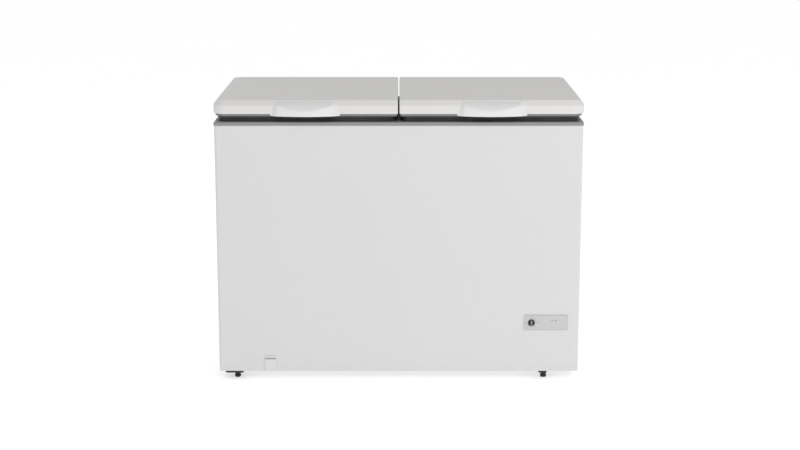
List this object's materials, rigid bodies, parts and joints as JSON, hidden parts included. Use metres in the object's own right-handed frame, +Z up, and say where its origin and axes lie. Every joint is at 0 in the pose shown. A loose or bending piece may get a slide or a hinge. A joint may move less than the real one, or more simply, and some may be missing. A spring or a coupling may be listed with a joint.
{
  "type": "two-door chest freezer",
  "caption": "White chest freezer with a deep box cabinet, side-by-side lift-up lids with pull handles, a thermostat panel and a drain at the front, and a compressor bay behind.",
  "frame": {"origin": "on the floor, under the middle of the whole freezer", "axes": "+X to the right of someone facing the front, +Y towards the back, +Z up"},
  "size_m": [1.118, 0.6354, 0.872],
  "materials": {
    "white_paint": "satin white enamel",
    "zinc_sheet": "zinc coated sheet",
    "liner_metal": "embossed sheet",
    "foam": "rigid foam",
    "grey_plastic": "satin grey",
    "white_plastic": "semi-gloss white",
    "panel_plastic": "matt light grey",
    "black_rubber": "matt black",
    "black_plastic": "matt black",
    "compressor_paint": "gloss black",
    "copper_tube": "drawn copper",
    "steel": "bright zinc",
    "lens": "clear tinted"
  },
  "bodies": {
    "cabinet": {"cabinet_wrap": "white_paint", "rear_panel": "zinc_sheet", "floor_panel": "zinc_sheet", "bay_panel": "zinc_sheet", "compressor_tray": "zinc_sheet", "inner_liner": "liner_metal", "evaporator_tube": "liner_metal", "foam_insulation": "foam", "top_collar": "grey_plastic", "centre_bar": "grey_plastic", "side_vent": "white_plastic", "control_panel": "panel_plastic", "compressor_grommets": "black_rubber", "cord_gland": "black_rubber", "drain_hose": "black_rubber", "relay_box": "black_plastic", "thermostat": "black_plastic", "left_foot_brackets": "black_plastic", "right_foot_brackets": "black_plastic", "rear_grille": "black_plastic", "compressor": "compressor_paint", "compressor_foot_plate": "compressor_paint", "discharge_tube": "copper_tube", "suction_tube": "copper_tube", "process_tube": "copper_tube", "capillary_tube": "copper_tube", "filter_drier": "copper_tube", "sensing_bulb": "copper_tube", "condenser_tube": "steel", "compressor_bolts": "steel", "hinge_leaves": "steel", "hinge_pins": "steel", "hinge_springs": "steel", "hinge_leaf_screws": "steel", "rear_grille_screws": "steel", "indicator_lenses": "lens"},
    "left_lid": {"left_lid_skin": "white_paint", "left_lid_foam": "foam", "left_lid_trim": "grey_plastic", "left_lid_liner": "white_plastic", "left_lid_handle": "white_plastic", "left_lid_gasket": "black_rubber", "left_hinge_arms": "steel", "left_arm_screws": "steel"},
    "right_lid": {"right_lid_skin": "white_paint", "right_lid_foam": "foam", "right_lid_trim": "grey_plastic", "right_lid_liner": "white_plastic", "right_lid_handle": "white_plastic", "right_lid_gasket": "black_rubber", "right_hinge_arms": "steel", "right_arm_screws": "steel"},
    "thermostat_dial": {"thermostat_dial": "black_plastic"},
    "drain_cover": {"drain_cover": "white_plastic"},
    "drain_plug": {"drain_plug": "black_rubber"},
    "front_left_foot": {"front_left_foot": "black_plastic"},
    "front_right_foot": {"front_right_foot": "black_plastic"},
    "rear_left_foot": {"rear_left_foot": "black_plastic"},
    "rear_right_foot": {"rear_right_foot": "black_plastic"}
  },
  "joints": [
    {"name": "left_lid_hinge", "type": "hinge", "parent": "cabinet", "child": "left_lid", "pos_m": [-0.2806, 0.30905, 0.8164], "axis": [-1, 0, 0], "range_deg": [0, 85]},
    {"name": "right_lid_hinge", "type": "hinge", "parent": "cabinet", "child": "right_lid", "pos_m": [0.2806, 0.30905, 0.8164], "axis": [-1, 0, 0], "range_deg": [0, 85]},
    {"name": "dial_turn", "type": "hinge", "parent": "cabinet", "child": "thermostat_dial", "pos_m": [0.409, -0.29005, 0.1825], "axis": [0, 1, 0], "range_deg": [0, 270]},
    {"name": "drain_cover_pull", "type": "slide", "parent": "cabinet", "child": "drain_cover", "axis": [0, -1, 0], "range_m": [0, 0.03]},
    {"name": "drain_plug_lift", "type": "slide", "parent": "cabinet", "child": "drain_plug", "axis": [0, 0, 1], "range_m": [0, 0.05]},
    {"name": "front_left_foot_level", "type": "slide", "parent": "cabinet", "child": "front_left_foot", "axis": [0, 0, -1], "range_m": [0, 0.01]},
    {"name": "front_right_foot_level", "type": "slide", "parent": "cabinet", "child": "front_right_foot", "axis": [0, 0, -1], "range_m": [0, 0.01]},
    {"name": "rear_left_foot_level", "type": "slide", "parent": "cabinet", "child": "rear_left_foot", "axis": [0, 0, -1], "range_m": [0, 0.01]},
    {"name": "rear_right_foot_level", "type": "slide", "parent": "cabinet", "child": "rear_right_foot", "axis": [0, 0, -1], "range_m": [0, 0.01]}
  ]
}
